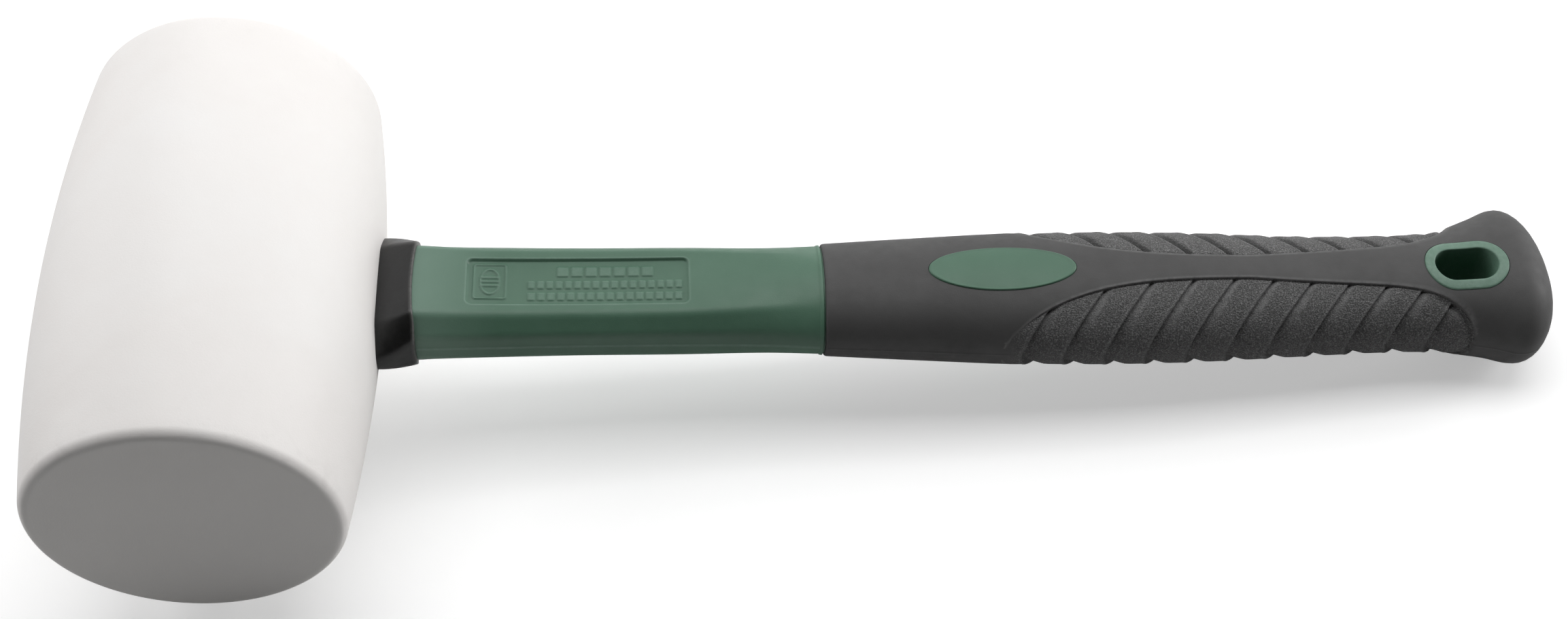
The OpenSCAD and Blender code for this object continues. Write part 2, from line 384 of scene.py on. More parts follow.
def head_mesh():
    around, along, rim_steps = 192, 36, 10
    half_len = HEAD_LEN / 2
    rim_y = half_len - RIM_R
    slope = math.atan(SWELL * (HEAD_R - FACE_R) / half_len * (rim_y / half_len) ** (SWELL - 1))
    rim_x = barrel_r(rim_y) - RIM_R / math.cos(slope)
    ys = np.linspace(0, rim_y - RIM_R * math.sin(slope), along)
    half = [(barrel_r(y), y) for y in ys[:-1]]
    for a in np.linspace(slope, math.pi / 2, rim_steps):
        half.append((rim_x + RIM_R * math.cos(a), rim_y + RIM_R * math.sin(a)))
    half += [(rim_x * f, half_len) for f in (0.985, 0.93, 0.8, 0.6, 0.4, 0.2, 0.06)]
    profile = [(r, -y) for r, y in half[:0:-1]] + half
    a = np.linspace(0, 2 * math.pi, around, endpoint=False)
    rings = [np.stack([r * np.cos(a), np.full(around, y), r * np.sin(a)], axis=1) for r, y in profile]
    return tube(np.array(rings))


def eye_outline(grow, n=64):
    """The eye's section as [y, z], grown all round."""
    w, t, c = EYE_W / 2 + grow, EYE_T / 2 + grow, EYE_CORNER + grow
    points = []
    for q in range(4):
        sx, sy = (1 if q in (0, 3) else -1), (1 if q < 2 else -1)
        for k in range(n // 4):
            a = math.pi / 2 * (q + k / (n // 4 - 1))
            points.append((sx * (w - c) + c * math.cos(a), sy * (t - c) + c * math.sin(a)))
    return np.array(points)


def eye_cutter():
    """A prism through the head whose mouth away from the handle is eased."""
    # [x, how much wider than the eye]
    stations = [
        (-HEAD_R - 2, 1.6),
        (-HEAD_R + 0.1, 0.75),
        (-HEAD_R + 0.8, 0.2),
        (-HEAD_R + 1.4, 0.02),
        (HEAD_R + 3, 0.02),
    ]
    rings = []
    for x, grow in stations:
        outline = eye_outline(grow)
        rings.append(np.column_stack([np.full(len(outline), x), outline]))
    return build("eye_cutter", *tube(np.array(rings)))


# ======== shank and collar ========

def octagon(rows, out, flats=40, edge=8, chamfer=8, sides=14):
    """Shank sections [ring, point, yz] for the rows, each grown by out. The same number of
    points falls on each flat, corner and chamfer, so that rings match."""
    rings = []
    for row, grow in zip(rows, np.broadcast_to(out, len(rows))):
        a, b = row[1] / 2 + grow, row[2] / 2 + grow
        f, g = row[3] / 2 + grow / 2, row[4] / 2 + grow / 2
        corners = np.array([[a, -g], [a, g], [f, b], [-f, b], [-a, g], [-a, -g], [-f, -b], [f, -b]])
        points = []
        for i in range(8):
            here, after, before = corners[i], corners[(i + 1) % 8], corners[i - 1]
            u = (before - here) / np.linalg.norm(before - here) * SHANK_EDGE
            v = (after - here) / np.linalg.norm(after - here) * SHANK_EDGE
            for t in np.linspace(0, 1, edge):
                points.append(here + (1 - t) ** 2 * u + t * t * v)
            steps = {0: sides, 4: sides, 2: flats, 6: flats}.get(i, chamfer)
            start, stop = here + v, after - v
            for t in np.linspace(0, 1, steps + 2)[1:-1]:
                points.append(start + (stop - start) * t)
        points = np.array(points)
        oval = points / np.hypot(points[:, :1] / a, points[:, 1:] / b)
        rings.append(points * (1 - row[5]) + oval * row[5])
    return np.array(rings)


def collar_mesh():
    """Rings from the barrel to the handle end. The first follows the barrel, and the last
    dips towards the head in the middle of each broad face."""
    seam = row_at(SHANK, [COLLAR_X])[0]
    half_w, half_t, half_flat, half_side, roundness = COLLAR_ROOT
    root = np.array([0, 2 * half_w, 2 * half_t, 2 * half_flat, 2 * half_side, roundness])
    root[1:5] -= 2 * COLLAR_STEP
    # [share of the way to the handle end, height over the plain surface]
    stations = [(0.0, -1.5)] + [(t, 0) for t in (0.0, 0.08, 0.2, 0.35, 0.5, 0.65, 0.8, 0.9)]
    stations += [(0.95, -0.02), (0.98, -0.1), (0.995, -0.25), (1.0, -0.42), (1.0, -2.0)]
    solid = []
    for t, rise in stations:
        narrowed = t ** COLLAR_CURVE
        share = np.array([0, narrowed, t, narrowed, t, t])
        row = root * (1 - share) + seam * share
        yz = octagon([row], COLLAR_STEP + rise)[0]
        start = np.sqrt(np.maximum(barrel_r(yz[:, 0]) ** 2 - yz[:, 1] ** 2, 1)) - COLLAR_SINK
        broad = smooth((np.abs(yz[:, 1]) - BOW_LOW) / BOW_RISE)
        end = COLLAR_X - COLLAR_BOW * broad * np.clip(1 - (yz[:, 0] / BOW_HALF_W) ** 2, 0, 1)
        solid.append(np.stack([start + (end - start) * t, yz[:, 0], yz[:, 1]], axis=1))
    wear = [1.0 if t >= 0.98 else 0.35 if t == 0.95 else 0.0 for t, _ in stations]
    return (*tube(np.array(solid)), {"wear": np.repeat(wear, solid[0].shape[0])})


# ======== handle core ========

def emblem_height(u, v):
    """0 to 1: a frame with an oval and three bars in it. u and v start in the label's middle."""
    eu, ev = u + LABEL_L / 2 - EMBLEM_INSET, v - EMBLEM_Y
    frame_line = np.abs(box_distance(eu, ev, EMBLEM_L / 2, EMBLEM_W / 2, EMBLEM_CORNER))
    oval = np.abs(np.hypot(eu / OVAL_HALF_L, ev / OVAL_HALF_W) - 1) * OVAL_MM
    nearest = np.minimum(frame_line, oval)
    for middle in (BAR_PITCH, 0, -BAR_PITCH):
        bar = np.maximum(np.abs(ev - middle) - BAR_HALF_W, np.abs(eu) - BAR_HALF_L)
        nearest = np.minimum(nearest, bar)
    return smooth((EMBLEM_LINE - nearest) / EMBLEM_SOFT)


def block_height(u, v):
    """0 to 1: the rows of plain blocks. u and v start in the label's middle."""
    raised = np.zeros(np.shape(u))
    for middle, length, height, blocks in BLOCK_ROWS:
        along = u - BLOCK_SHIFT + length / 2
        pitch = (length + BLOCK_GAP) / blocks
        half = (pitch - BLOCK_GAP) / 2
        in_block = np.where((along > 0) & (along < length), along % pitch, pitch)
        d = box_distance(in_block - half, v - middle, half, height / 2, BLOCK_CORNER)
        raised = np.maximum(raised, smooth(0.5 - d / BLOCK_SOFT))
    return raised


def label_relief(x, y):
    """Height of the label panel's surface over the broad face, and how worn it is."""
    u, v = x - LABEL_X, y
    rim = box_distance(u, v, LABEL_L / 2, LABEL_W / 2, LABEL_CORNER)
    sunk = smooth(0.5 - rim / LABEL_WALL)
    raised = np.maximum(emblem_height(u, v), block_height(u, v))
    burr = bell(rim - BURR_OUT, BURR_HALF_W)
    height = -LABEL_DEPTH * sunk + RELIEF * raised * sunk + BURR_RISE * burr
    return height, np.maximum(0.55 * burr, 0.3 * raised * sunk)


def shank_mesh():
    """The shank from inside the collar to inside the grip, with how worn each vertex is. A low
    lip rises where it meets the grip."""
    label_start, label_end = LABEL_X - LABEL_L / 2, LABEL_X + LABEL_L / 2
    xs = np.concatenate([
        np.linspace(COLLAR_X - 1.2, label_start - 0.6, 12),
        np.arange(label_start - 0.5, label_end + 0.7, 0.24),
        np.linspace(label_end + 0.8, GRIP_X - 1.4, 26),
        np.linspace(GRIP_X - 1.3, GRIP_X - 0.05, 12),
        [GRIP_X + 0.02, GRIP_X + 1.2],
    ])
    rows = row_at(SHANK, np.clip(xs, COLLAR_X, GRIP_X))
    lip_up, lip_down = smooth((xs - (GRIP_X - 1.2)) / 0.5), smooth((xs - (GRIP_X - 0.3)) / 0.25)
    sections = octagon(rows, 0.22 * lip_up - 0.55 * lip_down, flats=84)
    y, z = sections[:, :, 0], sections[:, :, 1]
    x = np.broadcast_to(xs[:, None], y.shape)
    flat = np.abs(y) < rows[:, 3:4] / 2
    relief, wear = label_relief(x, y)
    parting = bell(z, PARTING_HALF_W) * (np.abs(y) > 8) * (xs < GRIP_X - 1)[:, None]
    wear = np.maximum(wear * flat, parting)
    z = z + np.sign(z) * relief * flat
    y = y + np.sign(y) * PARTING_RISE * parting
    return (*tube(np.stack([x, y, z], axis=2)), wear.ravel())


def grip_top(x, y):
    """Height of the grip's outer surface over the handle's middle plane."""
    g = row_at(GRIP, x)
    inside = np.clip(1 - np.abs((y - g[:, 3]) / (g[:, 1] / 2)) ** GRIP_POWER, 0, 1)
    return g[:, 2] / 2 * inside ** (1 / GRIP_POWER)


def badge_mesh(side):
    """A low oval dome. side is 1 above and -1 below."""
    outline = ellipse(BADGE_L, BADGE_W)
    # [share of the way out from the middle, height over the plain surface]
    steps = [(f, 0) for f in (0.02, 0.3, 0.55, 0.75, 0.88, 0.935)]
    steps += [(0.95, 0.05), (0.965, 0.07), (0.98, 0.05), (0.992, -0.04)]
    steps += [(1.0, -0.2), (1.0, -1.2), (0.02, -1.2)]
    rings = []
    for f, rise in steps:
        x, y = BADGE_X + outline[:, 0] * f, outline[:, 1] * f
        z = grip_top(x, y) + INLAY_PROUD + rise
        rings.append(np.stack([x, y, side * z], axis=1))
    return tube(np.array(rings))


def slot_ring_mesh():
    """The wall round the hang slot, a loop carried round a slot-shaped path."""
    around = 132
    outer = stadium(SLOT_L + 2 * SLOT_WALL, SLOT_W + 2 * SLOT_WALL, around)
    inner = stadium(SLOT_L, SLOT_W, around)
    # [share of the way in across the wall, height over the plain surface]
    steps = [(0.0, -1.8), (0.0, -0.35), (0.03, -0.14), (0.08, -0.03), (0.16, 0), (0.4, 0)]
    steps += [(0.7, 0.02), (0.86, 0.02), (0.93, -0.03), (0.98, -0.14), (1.0, -0.34)]

    def mouth(side):
        rings = []
        for t, rise in steps:
            p = outer * (1 - t) + inner * t
            x, y = p[:, 0] + SLOT_X, p[:, 1]
            rings.append(np.stack([x, y, side * (grip_top(x, y) + INLAY_PROUD + rise)], axis=1))
        return rings

    top = grip_top(inner[:, 0] + SLOT_X, inner[:, 1])
    bore = []
    for level in (3, 2, 1, 0, -1, -2, -3):
        wall = inner * (1 - SLOT_TAPER * (4 - abs(level)))
        bore.append(np.stack([wall[:, 0] + SLOT_X, wall[:, 1], top * level / 4], axis=1))
    return tube(np.array(mouth(1) + bore + mouth(-1)[::-1]), wrap=True)


def core_mesh():
    """The shank, the badges and the slot's wall in one."""
    verts, faces, shank_wear = shank_mesh()
    badges = join(badge_mesh(1), badge_mesh(-1))
    ring = slot_ring_mesh()
    ring_wear = RING_WEAR * smooth((np.abs(ring[0][:, 2]) - WORN_ABOVE) / WORN_RISE)
    unworn = np.zeros(len(verts) - len(shank_wear) + len(badges[0]))
    wear = np.concatenate([shank_wear, unworn, ring_wear])
    return (*join((verts, faces), badges, ring), {"wear": wear})


# ======== grip ========

def zone_border(x):
    """How far each side panel climbs from the handle's side, in degrees of section, at x."""
    u = np.clip((ZONE_MIDDLE - x) / (ZONE_MIDDLE - ZONE_START), 0, 1)
    v = np.clip((x - ZONE_MIDDLE) / (ZONE_END - ZONE_MIDDLE), 0, 1)
    left = np.sqrt(1 - u ** 3)
    right = (1 - 0.2 * v) * np.sqrt(1 - v ** 8)
    return ZONE_TOP * np.where(x < ZONE_MIDDLE, left, right)


def sweep(from_side):
    """How far a groove has run towards the butt, this many degrees up from the side."""
    return GROOVE_SWEEP * (np.minimum(from_side, ZONE_TOP) / SWEEP_ANGLE) ** SWEEP_POWER


def inside_panel(x, from_side):
    """Distance in from the panel's border, negative outside it."""
    slant = (zone_border(x + 0.05) - zone_border(x - 0.05)) / 0.1 * MM_PER_DEGREE
    inside = (zone_border(x) - from_side) * MM_PER_DEGREE / np.sqrt(1 + slant ** 2)
    return np.where((x > ZONE_START) & (x < ZONE_END), inside, -1)


def groove_relief(x, from_side, inside):
    """Depth of the grooves, how worn their lips are, and where their sloping floors are."""
    climb = np.clip(from_side / ZONE_TOP, 0, 1)
    deep = GROOVE_DEPTH[0] + GROOVE_DEPTH[1] * (1 - climb)
    wide = GROOVE_WIDTH[0] + GROOVE_WIDTH[1] * (1 - climb)
    wall = GROOVE_WALL[0] + GROOVE_WALL[1] * (1 - climb) ** 2
    opens = smooth((inside - 0.05) / 0.4)
    depth, wear, floors = np.zeros((3, *x.shape))
    for i in range(GROOVES):
        d = x - GROOVE_FIRST - GROOVE_PITCH * i - sweep(from_side)
        floor = (1 - np.clip(d / wide, 0, 1)) ** FLOOR_POWER
        profile = np.where(d < 0, smooth(1 + d / wall), floor)
        # A pit where the groove meets the border, and a low lip before its steep wall
        pit = 0.35 * bell(d, 0.4) * bell(inside - 0.45, 0.35)
        lip = bell(d + 0.4 + wall, 0.33) * opens
        depth = depth + deep * profile * opens + pit - 0.1 * lip
        on_floor = smooth((d + 0.1) / 0.3) * (1 - smooth((d - 0.75 * wide) / 0.4))
        floors = np.maximum(floors, on_floor * opens * smooth((climb - 0.3) / 0.4))
        wear = np.maximum(wear, 0.3 * lip)
    return depth, wear, floors


def grip_relief(x, from_side):
    """Depth of the side panels' relief, how grained and how worn the surface is, and where the
    grooves' sloping floors are."""
    inside = inside_panel(x, from_side)
    fade_in = smooth((x - ZONE_START - 2) / 8)
    panel = PANEL_DEPTH * smooth(inside / PANEL_WALL) * fade_in * smooth((from_side - 4) / 40)
    crease = CREASE_DEPTH * bell(inside - CREASE_IN, CREASE_HALF_W) * fade_in
    near_butt = smooth((x - 264) / 10) * (1 - smooth((from_side - 42) / 20))
    hollow = HOLLOW_DEPTH * bell(inside - HOLLOW_IN, HOLLOW_HALF_W) * near_butt
    grooves, lip_wear, floors = groove_relief(x, from_side, inside)
    border_wear = 0.5 * bell(inside + 0.2, 0.2) * (inside > -0.9)
    grain = smooth(inside / PANEL_WALL) * smooth((x - ZONE_START) / 5)
    return panel + crease + grooves + hollow, grain, np.maximum(border_wear, lip_wear), floors


def grip_lines():
    """Places along the grip for the mesh's rings, closer together where a groove begins."""
    near = (
        -1.9, -1.55, -1.25, -0.95, -0.7, -0.5, -0.35, -0.2, -0.05,
        0.08, 0.25, 0.5, 0.85, 1.3, 1.9, 2.6, 3.5, 4.7, 6.0,
    )
    grooves = [GROOVE_FIRST + GROOVE_PITCH * i + d for i in range(GROOVES) for d in near]
    first, last = grooves[0], grooves[-1]
    return np.concatenate([
        GRIP_X + np.array([0.1, 0.12, 0.3, 0.6, 1.1]),
        np.linspace(GRIP_X + 2, ZONE_START - 4, 24),
        np.arange(ZONE_START - 3, first - 0.2, 0.35),
        grooves,
        np.arange(last + 0.35, ZONE_END + 1.2, 0.35),
        np.linspace(ZONE_END + 2, LIP_X, 16),
    ])


def grip_angles(lines):
    """For each ring, degrees up from the side for a quarter of the section, bunched at the
    panel's border, and how much the ring leans with the grooves."""
    lean = smooth((lines - 150) / 24) * (1 - smooth((lines - 272.5) / 19))
    border = np.full(len(lines), 50.0)
    # Where a leaning ring meets the border, found by going halfway again and again
    for _ in range(40):
        border = 0.5 * border + 0.5 * zone_border(lines + lean * sweep(border))
    free = np.maximum(smooth((ZONE_START - lines) / 20), smooth((lines - ZONE_END) / 9))
    border = np.maximum(border, 24)
    border = border * (1 - free) + 60 * free
    crease = np.array([-0.75, -0.55, -0.4, -0.28, -0.16, -0.04, 0.12, 0.3]) / MM_PER_DEGREE
    quarter = []
    for top in border:
        low = np.array([0, 0.4, 0.9, 1.5, 2.4])
        inner = np.linspace(2.4, top + crease[0], 30)[1:-1]
        outer = np.linspace(top + crease[-1], 90, 9)[1:]
        quarter.append(np.concatenate([low, inner, top + crease, outer]))
    return np.array(quarter), lean


def whole_rings(quarter):
    """Degrees round each whole ring, and degrees from its nearer side, out of a quarter."""
    parts = (
        (0, 1, quarter),
        (180, -1, quarter[:, -2::-1]),
        (180, 1, quarter[:, 1:]),
        (360, -1, quarter[:, -2:0:-1]),
    )
    degrees = np.concatenate([start + turn * part for start, turn, part in parts], axis=1)
    return degrees, np.concatenate([part for _, _, part in parts], axis=1)


def grip_mesh():
    lines = grip_lines()
    quarter, lean = grip_angles(lines)
    # The domed butt goes on from the lip, by shares of the way to its tip
    dome = np.array([0.12, 0.25, 0.38, 0.5, 0.6, 0.7, 0.78, 0.85, 0.9, 0.94, 0.97, 0.99, 0.9985])
    quarter = np.concatenate([quarter, np.repeat(quarter[-1:], len(dome), axis=0)])
    lean = np.concatenate([lean, np.zeros(len(dome))])[:, None]
    share = np.concatenate([np.zeros(len(lines)), dome])[:, None]
    along = np.concatenate([lines, LIP_X + (BUTT_X - LIP_X) * dome])[:, None]
    degrees, from_side = whole_rings(quarter)
    x = np.minimum(along + lean * sweep(from_side), BUTT_X)
    rows = row_at(GRIP, np.clip(x, GRIP_X, LIP_X).ravel()).reshape(*x.shape, 4)
    shift = rows[:, :, 3] - BUTT_LEAN * share ** 2
    ease = np.sqrt(1 - share ** 2)
    # The first rings turn in towards the shank
    sink = np.zeros((len(x), 1))
    sink[:5, 0] = [1.5, 0.42, 0.14, 0.03, 0]
    half_w = rows[:, :, 1] / 2 * ease - sink
    half_t = rows[:, :, 2] / 2 * ease - sink
    c, s = np.cos(np.radians(degrees)), np.sin(np.radians(degrees))
    unit_y = -np.sign(c) * np.abs(c) ** (2 / GRIP_POWER)
    unit_z = np.sign(s) * np.abs(s) ** (2 / GRIP_POWER)
    y, z = half_w * unit_y, half_t * unit_z
    # Outward across the section, to sink the relief straight in
    out_y = np.sign(y) * np.abs(unit_y) ** (GRIP_POWER - 1) / half_w
    out_z = np.sign(z) * np.abs(unit_z) ** (GRIP_POWER - 1) / half_t
    size = np.hypot(out_y, out_z)
    depth, grain, wear, floors = grip_relief(x, from_side)
    parting = 0.1 * bell(z, 0.22) * (x < LIP_X + 5) * (x > GRIP_X + 1) * (1 - 0.6 * grain)
    depth = depth - parting
    y = y - out_y / size * depth + shift
    z = z - out_z / size * depth
    # Painted highlight on the near side's groove floors, in wear beside real rubbing; painted shade on
    # the far side's
    wear = np.maximum(wear, 0.7 * floors * (y < 0))
    soil = floors * (y > 0)
    values = {"grain": grain.ravel(), "wear": wear.ravel(), "soil": soil.ravel()}
    return (*tube(np.stack([x, y, z], axis=2)), values)


def inlay_cutter():
    """What is taken out of the grip for the slot's wall and the badges, with a hair of room."""
    room = 2 * INLAY_GAP
    ring = stadium(SLOT_L + 2 * SLOT_WALL + room, SLOT_W + 2 * SLOT_WALL + room, 96) + [SLOT_X, 0]
    badge = ellipse(BADGE_L + room, BADGE_W + room) + [BADGE_X, 0]
    bed = grip_top(badge[:, 0], badge[:, 1]) - BADGE_BED
    parts = [prism(ring, -CUTTER_REACH, CUTTER_REACH)]
    parts += [prism(badge, side * bed, side * CUTTER_REACH) for side in (1, -1)]
    return build("inlay_cutter", *join(*parts))


# ======== materials ========

class Nodes:
    """A material's node tree, with short calls for what every material here uses."""

    def __init__(self, name):
        self.material = bpy.data.materials.new(name)
        self.material.use_nodes = True
        self.tree = self.material.node_tree
        self.shader = self.tree.nodes["Principled BSDF"]
        self.coords = self.tree.nodes.new("ShaderNodeTexCoord").outputs["Object"]

    def link(self, a, b):
        self.tree.links.new(a, b)

    def noise(self, scale, detail=4.0, roughness=0.55, distortion=0.0):
        node = self.tree.nodes.new("ShaderNodeTexNoise")
        node.inputs["Scale"].default_value = scale
        node.inputs["Detail"].default_value = detail
        node.inputs["Roughness"].default_value = roughness
        node.inputs["Distortion"].default_value = distortion
        self.link(self.coords, node.inputs["Vector"])
        return node.outputs["Fac"]

    def ramp(self, value, stops):
        node = self.tree.nodes.new("ShaderNodeValToRGB")
        for k, (at, colour) in enumerate(stops):
            element = node.color_ramp.elements[k] if k < 2 else node.color_ramp.elements.new(at)
            element.position = at
            element.color = (*colour, 1)
        self.link(value, node.inputs["Fac"])
        return node.outputs["Color"]

    def span(self, value, low, high, to_low=0.0, to_high=1.0):
        """value carried from one range to another, and held at the ends."""
        node = self.tree.nodes.new("ShaderNodeMapRange")
        ends = {"From Min": low, "From Max": high, "To Min": to_low, "To Max": to_high}
        for name, number in ends.items():
            node.inputs[name].default_value = number
        self.link(value, node.inputs["Value"])
        return node.outputs["Result"]

    def math(self, operation, a, b):
        node = self.tree.nodes.new("ShaderNodeMath")
        node.operation = operation
        for k, value in enumerate((a, b)):
            if isinstance(value, (int, float)):
                node.inputs[k].default_value = value
            else:
                self.link(value, node.inputs[k])
        return node.outputs[0]

    def times(self, a, b):
        return self.math("MULTIPLY", a, b)

    def mix(self, amount, a, b):
        """Colour a, turning into colour b as amount goes from 0 to 1."""
        node = self.tree.nodes.new("ShaderNodeMix")
        node.data_type = "RGBA"
        self.link(amount, node.inputs["Factor"])
        for socket, value in ((node.inputs[6], a), (node.inputs[7], b)):
            if isinstance(value, tuple):
                socket.default_value = (*value, 1)
            else:
                self.link(value, socket)
        return node.outputs[2]

    def value(self, name):
        """The numbers that build() put on the mesh under this name."""
        node = self.tree.nodes.new("ShaderNodeAttribute")
        node.attribute_name = name
        return node.outputs["Fac"]

    def position(self, axis):
        """Place along the X, Y or Z axis, in metres."""
        node = self.tree.nodes.new("ShaderNodeSeparateXYZ")
        self.link(self.coords, node.inputs[0])
        return node.outputs[axis]

    def bump(self, height, distance, strength=1.0, under=None):
        node = self.tree.nodes.new("ShaderNodeBump")
        node.inputs["Distance"].default_value = distance
        if isinstance(strength, float):
            node.inputs["Strength"].default_value = strength
        else:
            self.link(strength, node.inputs["Strength"])
        self.link(height, node.inputs["Height"])
        if under is not None:
            self.link(under, node.inputs["Normal"])
        return node.outputs["Normal"]

    def finish(self, colour, roughness, normal, specular):
        self.link(colour, self.shader.inputs["Base Color"])
        self.link(roughness, self.shader.inputs["Roughness"])
        self.link(normal, self.shader.inputs["Normal"])
        self.shader.inputs["Specular IOR Level"].default_value = specular
        return self.material


def white_rubber():
    n = Nodes("white_rubber")
    base = n.ramp(n.noise(22, 5, 0.6, 0.4), WHITE_SHADES)
    # Faint grey scuffs that gather near the two rims
    face = HEAD_LEN / 2 * MM
    off_middle = n.math("ABSOLUTE", n.math("SUBTRACT", n.position("Y"), AXIS_Y), 0.0)
    near_rim = n.span(off_middle, face - 0.009, face - 0.001)
    scuff = n.span(n.noise(160, 6, 0.7, 1.2), 0.54, 0.66)
    colour = n.mix(n.times(n.times(scuff, near_rim), 0.1), base, SCUFFED_WHITE)
    # Painted shade: the two striking faces are painted greyer than the barrel
    on_face = n.span(off_middle, face - 0.0006, face - 0.0002)
    colour = n.mix(on_face, colour, SHADED_FACE_WHITE)
    roughness = n.span(n.noise(90, 4, 0.6), 0.3, 0.7, 0.5, 0.66)
    fine = n.bump(n.noise(2600, 3, 0.6), 0.00006, 0.5)
    soft = n.bump(n.noise(70, 3, 0.5), 0.0005, 0.25, fine)
    return n.finish(colour, roughness, soft, specular=0.32)


def black_rubber():
    n = Nodes("black_rubber")
    base = n.ramp(n.noise(120, 5, 0.6), BLACK_SHADES)
    dust = n.span(n.noise(900, 6, 0.75), 0.6, 0.74, 0, 0.2)
    colour = n.mix(dust, base, DUSTY_BLACK)
    rub = n.times(n.times(n.value("wear"), n.noise(900, 4, 0.7)), 0.8)
    colour = n.mix(rub, colour, RUBBED_BLACK)
    roughness = n.span(n.noise(300, 4, 0.6), 0.3, 0.7, 0.30, 0.42)
    fine = n.bump(n.noise(3000, 3, 0.6), 0.00005, 0.5)
    soft = n.bump(n.noise(240, 3, 0.5), 0.00025, 0.4, fine)
    return n.finish(colour, roughness, soft, specular=0.42)


def green_plastic():
    n = Nodes("green_plastic")
    base = n.ramp(n.noise(45, 5, 0.6, 0.3), GREEN_SHADES)
    speck = n.span(n.noise(1900, 4, 0.7), 0.62, 0.72, 0, 0.25)
    colour = n.mix(speck, base, SPECKED_GREEN)
    # Painted sheen: paler next to the collar, fading out along the shank
    collar_sheen = n.span(n.position("X"), COLLAR_X * MM, COLLAR_X * MM + 0.018, 0.24, 0)
    colour = n.mix(collar_sheen, colour, RUBBED_GREEN_AND_SHEEN)
    rub = n.times(n.times(n.value("wear"), n.noise(700, 4, 0.7)), 0.75)
    colour = n.mix(rub, colour, RUBBED_GREEN_AND_SHEEN)
    roughness = n.span(n.noise(260, 5, 0.65), 0.3, 0.7, 0.38, 0.52)
    fine = n.bump(n.noise(3400, 3, 0.6), 0.00005, 0.55)
    soft = n.bump(n.noise(110, 3, 0.5), 0.0003, 0.25, fine)
    return n.finish(colour, roughness, soft, specular=0.4)


def grip_rubber():
    n = Nodes("grip_rubber")
    grain, wear = n.value("grain"), n.value("wear")
    colour = n.ramp(n.noise(60, 5, 0.6, 0.3), GREY_SHADES)
    # Pebbled side panels, with painted shade in the pits and a painted highlight on the tips
    pebble = n.noise(3300, 1, 0.5)
    pit_shade = n.times(n.span(pebble, 0.46, 0.34), grain)
    tip_highlight = n.times(n.span(pebble, 0.52, 0.68), grain)
    colour = n.mix(n.times(grain, 0.3), colour, GRAINED_GREY)
    colour = n.mix(n.times(pit_shade, 0.55), colour, PIT_SHADE_GREY)
    colour = n.mix(n.times(tip_highlight, 0.5), colour, TIP_HIGHLIGHT_GREY)
    # Real rubbing on the lips and border, and a painted highlight on the near side's groove floors,
    # which come in with the wear values
    rub = n.times(wear, n.span(n.noise(700, 4, 0.7), 0.3, 0.6, 0.2, 0.9))
    colour = n.mix(rub, colour, RUBBED_GREY_AND_HIGHLIGHT)
    # Painted shade on the far side's groove floors
    colour = n.mix(n.times(n.value("soil"), 0.7), colour, GROOVE_SHADE_BLACK)
    roughness = n.span(n.noise(320, 4, 0.6), 0.3, 0.7, 0.55, 0.68)
    fine = n.bump(n.noise(3200, 3, 0.6), 0.00005, 0.5)
    grained = n.bump(pebble, 0.0003, grain, fine)
    return n.finish(colour, roughness, grained, specular=0.38)


def resin():
    n = Nodes("cast_resin")
    colour = n.ramp(n.noise(260, 5, 0.6), RESIN_SHADES)
    roughness = n.span(n.noise(500, 4, 0.6), 0.3, 0.7, 0.22, 0.4)
    return n.finish(colour, roughness, n.bump(n.noise(420, 4, 0.6), 0.0004, 0.5), specular=0.5)


def fibreglass():
    n = Nodes("fibreglass_end")
    colour = n.ramp(n.noise(2400, 5, 0.7), GLASS_SHADES)
    roughness = n.span(n.noise(900, 4, 0.6), 0.3, 0.7, 0.45, 0.7)
    return n.finish(colour, roughness, n.bump(n.noise(2600, 4, 0.6), 0.0001, 0.6), specular=0.4)


def pale_floor():
    """Matt grey, with a glow that only the camera sees, so that it looks near white and throws
    no extra light."""
    material = bpy.data.materials.new("pale_floor")
    material.use_nodes = True
    tree = material.node_tree
    shader = tree.nodes["Principled BSDF"]
    shader.inputs["Base Color"].default_value = (FLOOR_GREY, FLOOR_GREY, FLOOR_GREY, 1)
    shader.inputs["Roughness"].default_value = FLOOR_ROUGHNESS
    shader.inputs["Specular IOR Level"].default_value = FLOOR_SPECULAR
    seen = tree.nodes.new("ShaderNodeLightPath").outputs["Is Camera Ray"]
    glow = tree.nodes.new("ShaderNodeEmission")
    glow.inputs["Strength"].default_value = FLOOR_GLOW
    add = tree.nodes.new("ShaderNodeAddShader")
    pick = tree.nodes.new("ShaderNodeMixShader")
    tree.links.new(shader.outputs[0], add.inputs[0])
    tree.links.new(glow.outputs[0], add.inputs[1])
    tree.links.new(seen, pick.inputs[0])
    tree.links.new(shader.outputs[0], pick.inputs[1])
    tree.links.new(add.outputs[0], pick.inputs[2])
    tree.links.new(pick.outputs[0], tree.nodes["Material Output"].inputs["Surface"])
    return material


# ======== pieces ========

def ship(piece, node, material):
    """Hands a piece over in place of its CAD node, in its material."""
    piece.data.materials.clear()
    piece.data.materials.append(material)
    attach(piece, "root")
    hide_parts(node)


def make_head():
    head = build("mallet_head", *head_mesh())
    cut(head, eye_cutter())
    sharpen(head, 50)
    ship(head, "head", white_rubber())


def make_collar():
    collar = build("collar_ferrule", *collar_mesh())
    sharpen(collar, 55)
    ship(collar, "collar", black_rubber())


def make_core():
    core = build("handle_core_moulding", *core_mesh())
    sharpen(core, 60)
    ship(core, "handle_core", green_plastic())


def make_grip():
    grip = build("grip_overmould", *grip_mesh())
    cut(grip, inlay_cutter())
    sharpen(grip, 70)
    ship(grip, "grip", grip_rubber())


def finish_cad_nodes():
    """The bond and the rod keep the CAD's meshes, and only get materials."""
    for node, material in (("eye_bond", resin()), ("core_rod", fibreglass())):
        for holder in frame["nodes"][node].material_slots:
            holder.material = material


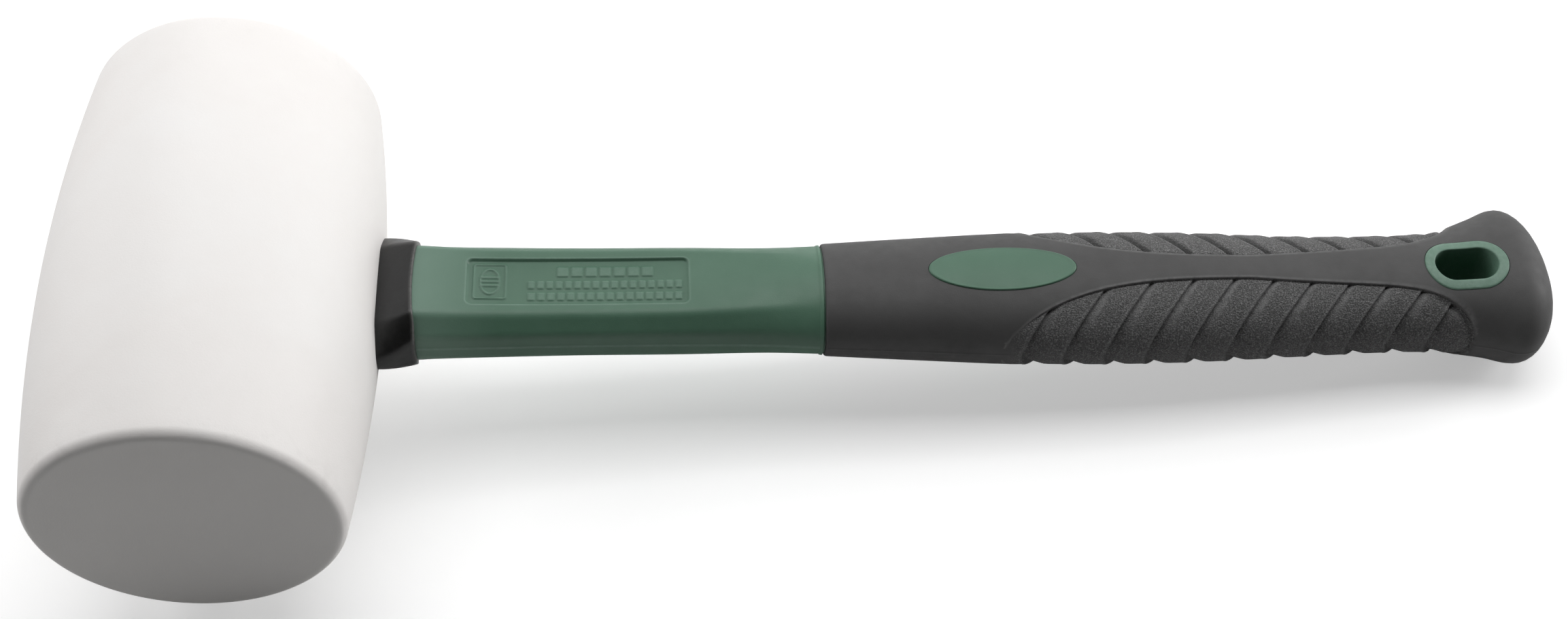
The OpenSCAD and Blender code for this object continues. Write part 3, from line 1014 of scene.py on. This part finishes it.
# ======== stage, light and camera ========

def floor_tilt():
    """The slope at which a flat floor touches both the head and the underside of the butt."""
    angles = []
    for row in GRIP:
        reach = math.hypot(row[0], row[2] / 2)
        angles.append(math.asin(HEAD_R / reach) - math.atan2(row[2] / 2, row[0]))
    return min(angles)


def make_stage():
    half = FLOOR_HALF
    mesh = bpy.data.meshes.new("floor")
    corners = [(-half, -half, 0), (half, -half, 0), (half, half, 0), (-half, half, 0)]
    mesh.from_pydata(corners, [], [(0, 1, 2, 3)])
    mesh.materials.append(pale_floor())
    floor = bpy.data.objects.new("floor", mesh)
    bpy.context.collection.objects.link(floor)
    head_middle = Matrix.Translation((0, AXIS_Y, 0))
    down_to_floor = Matrix.Translation((0, 0, -HEAD_R * MM))
    floor.matrix_world = head_middle @ Matrix.Rotation(-floor_tilt(), 4, "Y") @ down_to_floor


def area_light(name, target, offset, size, power):
    data = bpy.data.lights.new(name, "AREA")
    data.shape = "RECTANGLE"
    data.size, data.size_y = size
    data.energy = power
    light = bpy.data.objects.new(name, data)
    light.location = target + Vector(offset)
    light.rotation_euler = (-Vector(offset)).to_track_quat("-Z", "Y").to_euler()
    bpy.context.collection.objects.link(light)


def make_lights():
    middle = Vector(((cad_box[0][0] + cad_box[1][0]) / 2, AXIS_Y, 0))
    for name, offset, size, power in LIGHTS:
        area_light(name, middle, offset, size, power)
    world = bpy.data.worlds.new("studio")
    bpy.context.scene.world = world
    world.use_nodes = True
    background = world.node_tree.nodes["Background"]
    background.inputs["Color"].default_value = (1, 1, 1, 1)
    background.inputs["Strength"].default_value = WORLD_LIGHT
    bpy.context.scene.view_settings.view_transform = "Standard"


def make_camera():
    """Stands in front of the near face, to the handle's side of the head, and looks down."""
    yaw, pitch, roll = CAMERA_YAW, CAMERA_PITCH, CAMERA_ROLL
    ahead = Vector((math.sin(yaw) * math.cos(pitch), math.cos(yaw) * math.cos(pitch), -math.sin(pitch)))
    level = Vector((math.cos(yaw), -math.sin(yaw), 0))
    upright = level.cross(ahead)
    right = level * math.cos(roll) + upright * math.sin(roll)
    up = upright * math.cos(roll) - level * math.sin(roll)
    data = bpy.data.cameras.new("photo_camera")
    data.lens = CAMERA_LENS
    camera = bpy.data.objects.new("photo_camera", data)
    matrix = Matrix((right, up, -ahead)).transposed().to_4x4()
    matrix.translation = Vector(place(CAMERA_AT))
    camera.matrix_world = matrix
    bpy.context.collection.objects.link(camera)
    bpy.context.scene.camera = camera


make_head()
make_collar()
make_core()
make_grip()
finish_cad_nodes()
make_stage()
make_lights()
make_camera()
